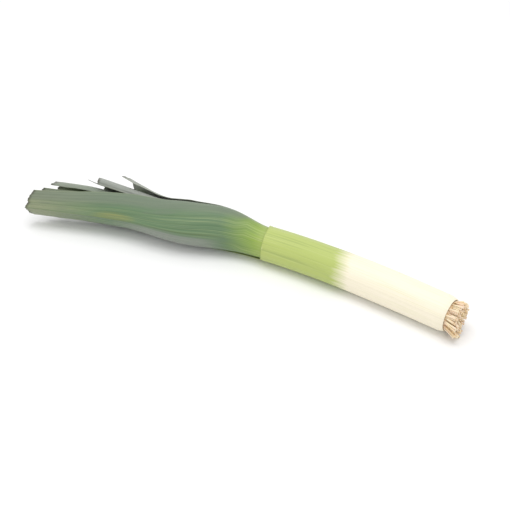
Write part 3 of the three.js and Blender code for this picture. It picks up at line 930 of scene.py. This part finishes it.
def close_poles(mesh):
    """Fills the two pinholes of the turned plate and makes every face point outwards."""
    shell = bmesh.new()
    shell.from_mesh(mesh)
    rims = [edge for edge in shell.edges if edge.is_boundary]
    if rims:
        bmesh.ops.holes_fill(shell, edges=rims, sides=0)
    bmesh.ops.recalc_face_normals(shell, faces=shell.faces)
    shell.to_mesh(mesh)
    shell.free()


# The stage, in metres.
FLOOR_REACH = 6.0
FLOOR_ROUGHNESS = 0.9
FLOOR_GLOSS = 0.1
KEY_SIZE = (1.3, 0.9)
KEY_PLACE = (0.0, 0.0, 1.5)
KEY_AIM = (0.0, -0.01, 0.0)
SENSOR_WIDTH = 36.0
CLIP_SPAN = (0.01, 50.0)


def build_floor(context, stage):
    """One flat square of pale paper."""
    mesh = bpy.data.meshes.new("floor_shape")
    corners = [(x * FLOOR_REACH, y * FLOOR_REACH, 0) for x, y in ((-1, -1), (1, -1), (1, 1), (-1, 1))]
    mesh.from_pydata(corners, [], [(0, 1, 2, 3)])
    floor = bpy.data.objects.new("floor", mesh)
    context.scene.collection.objects.link(floor)
    paper = Finish("floor_paper").surface({
        "Base Color": (*stage.floor, 1.0),
        "Roughness": FLOOR_ROUGHNESS,
        "Specular IOR Level": FLOOR_GLOSS,
    })
    mesh.materials.append(paper)


def build_lights(context, stage):
    """An even white sky and one soft rectangle overhead."""
    world = bpy.data.worlds.new("studio")
    world.use_nodes = True
    background = world.node_tree.nodes["Background"]
    background.inputs["Color"].default_value = (1.0, 1.0, 1.0, 1.0)
    background.inputs["Strength"].default_value = stage.sky
    context.scene.world = world

    lamp = bpy.data.lights.new("key", "AREA")
    lamp.shape = "RECTANGLE"
    lamp.size, lamp.size_y = KEY_SIZE
    lamp.energy = stage.key
    key = bpy.data.objects.new("key", lamp)
    key.location = KEY_PLACE
    key.rotation_euler = (Vector(KEY_AIM) - key.location).to_track_quat("-Z", "Y").to_euler()
    context.scene.collection.objects.link(key)


def build_camera(context, stage):
    """A camera that stands at a place and looks along its azimuth, down by its elevation."""
    lens = bpy.data.cameras.new("camera")
    lens.lens = stage.lens
    lens.sensor_width = SENSOR_WIDTH
    lens.clip_start, lens.clip_end = CLIP_SPAN
    camera = bpy.data.objects.new("camera", lens)
    level = np.cos(stage.elevation)
    look = Vector((-np.sin(stage.azimuth) * level, np.cos(stage.azimuth) * level, -np.sin(stage.elevation)))
    camera.location = stage.stand
    camera.rotation_euler = look.to_track_quat("-Z", "Y").to_euler()
    context.scene.collection.objects.link(camera)
    context.scene.camera = camera
    context.scene.view_settings.view_transform = "Standard"


class LeekSizes(PropertyGroup):
    waviness: FloatProperty(
        name="Waviness", description="Height of the slow wave along the leaf margins",
        default=0.0007, min=0.0, max=0.01, unit="LENGTH", subtype="DISTANCE")
    rib_height: FloatProperty(
        name="Rib height", description="Height of the ribs along the leaves",
        default=0.00022, min=0.0, max=0.002, unit="LENGTH", subtype="DISTANCE")
    root_length: FloatProperty(
        name="Root length", description="Length of the clipped roots",
        default=0.0118, min=0.001, max=0.02, unit="LENGTH", subtype="DISTANCE")
    root_count: IntProperty(
        name="Root count", description="How many clipped roots the plate bears",
        default=210, min=20, max=400)


class LeekColours(PropertyGroup):
    shank: FloatVectorProperty(
        name="Shank", description="White of the shank",
        default=colour(247, 238, 216)[:3], size=3, min=0, max=1, subtype="COLOR")
    pale_green: FloatVectorProperty(
        name="Pale green", description="Green of the upper sheath",
        default=colour(180, 194, 108)[:3], size=3, min=0, max=1, subtype="COLOR")
    fresh_green: FloatVectorProperty(
        name="Fresh green", description="Yellow green where a leaf comes out",
        default=colour(140, 166, 72)[:3], size=3, min=0, max=1, subtype="COLOR")
    blade_green: FloatVectorProperty(
        name="Blade green", description="Blue green of the blades",
        default=colour(96, 124, 90)[:3], size=3, min=0, max=1, subtype="COLOR")
    end_green: FloatVectorProperty(
        name="End green", description="Faded green near the cut",
        default=colour(134, 142, 112)[:3], size=3, min=0, max=1, subtype="COLOR")
    # Scales the grey wax together with the painted sheen by the upper margin and the painted floor
    # reflection under the keel.
    wax_and_reflection: FloatProperty(
        name="Bloom", description="How much grey wax lies on the blades",
        default=0.8, min=0.0, max=1.0, subtype="FACTOR")


class LeekStage(PropertyGroup):
    floor: FloatVectorProperty(
        name="Floor", description="Colour of the floor",
        default=(0.92, 0.92, 0.92), size=3, min=0, max=1, subtype="COLOR")
    sky: FloatProperty(
        name="Sky light", description="Strength of the even light",
        default=0.88, min=0.0, max=5.0)
    key: FloatProperty(
        name="Key light", description="Power of the soft light overhead",
        default=9.0, min=0.0, max=500.0, unit="POWER")
    lens: FloatProperty(
        name="Lens", description="Focal length of the camera",
        default=63.4, min=10, max=300, unit="CAMERA")
    azimuth: FloatProperty(
        name="Azimuth", description="Side the camera looks from",
        default=24.4 * DEG, subtype="ANGLE", unit="ROTATION")
    elevation: FloatProperty(
        name="Elevation", description="Height of the camera above the horizon",
        default=37.0 * DEG, subtype="ANGLE", unit="ROTATION")
    stand: FloatVectorProperty(
        name="Stand", description="Place of the camera",
        default=(0.3045, -0.6467, 0.5415), size=3, subtype="TRANSLATION", unit="LENGTH")


class LEEK_OT_outer_leaves(Operator):
    """Build the two outermost leaves, which show most of the leek's surface"""

    bl_idname = "leek.outer_leaves"
    bl_label = "Outer leaves"

    def execute(self, context):
        for order, leaf in enumerate(LEAVES[:SHOWN_LEAVES]):
            build_leaf(leaf, order, context.scene.leek_sizes, context.scene.leek_colours)
        return {"FINISHED"}


class LEEK_OT_inner_leaves(Operator):
    """Build the leaves inside the outer two, seen by their blades"""

    bl_idname = "leek.inner_leaves"
    bl_label = "Inner leaves"

    def execute(self, context):
        for order, leaf in enumerate(LEAVES[SHOWN_LEAVES:], SHOWN_LEAVES):
            build_leaf(leaf, order, context.scene.leek_sizes, context.scene.leek_colours)
        return {"FINISHED"}


class LEEK_OT_roots(Operator):
    """Build the root plate with its clipped roots"""

    bl_idname = "leek.roots"
    bl_label = "Roots"

    def execute(self, context):
        build_roots(context.scene.leek_sizes)
        return {"FINISHED"}


class LEEK_OT_stage(Operator):
    """Build the pale floor, the soft lights and the camera"""

    bl_idname = "leek.stage"
    bl_label = "Stage"

    def execute(self, context):
        build_floor(context, context.scene.leek_stage)
        build_lights(context, context.scene.leek_stage)
        build_camera(context, context.scene.leek_stage)
        return {"FINISHED"}


class LEEK_PT_sidebar(Panel):
    """Sizes, colours and build steps of the leek"""

    bl_label = "Leek"
    bl_idname = "LEEK_PT_sidebar"
    bl_space_type = "VIEW_3D"
    bl_region_type = "UI"
    bl_category = "Leek"

    def draw(self, context):
        for group in (context.scene.leek_sizes, context.scene.leek_colours, context.scene.leek_stage):
            box = self.layout.box()
            for name in group.__annotations__:
                box.prop(group, name)
        for operator in OPERATORS:
            self.layout.operator(operator.bl_idname)


OPERATORS = (LEEK_OT_stage, LEEK_OT_outer_leaves, LEEK_OT_inner_leaves, LEEK_OT_roots)
CLASSES = (LeekSizes, LeekColours, LeekStage, *OPERATORS, LEEK_PT_sidebar)


def register():
    for cls in CLASSES:
        bpy.utils.register_class(cls)
    bpy.types.Scene.leek_sizes = PointerProperty(type=LeekSizes)
    bpy.types.Scene.leek_colours = PointerProperty(type=LeekColours)
    bpy.types.Scene.leek_stage = PointerProperty(type=LeekStage)


def unregister():
    del bpy.types.Scene.leek_stage
    del bpy.types.Scene.leek_colours
    del bpy.types.Scene.leek_sizes
    for cls in reversed(CLASSES):
        bpy.utils.unregister_class(cls)


def main():
    register()
    bpy.ops.leek.stage()
    bpy.ops.leek.outer_leaves()
    bpy.ops.leek.inner_leaves()
    bpy.ops.leek.roots()


if __name__ == "__main__":
    main()
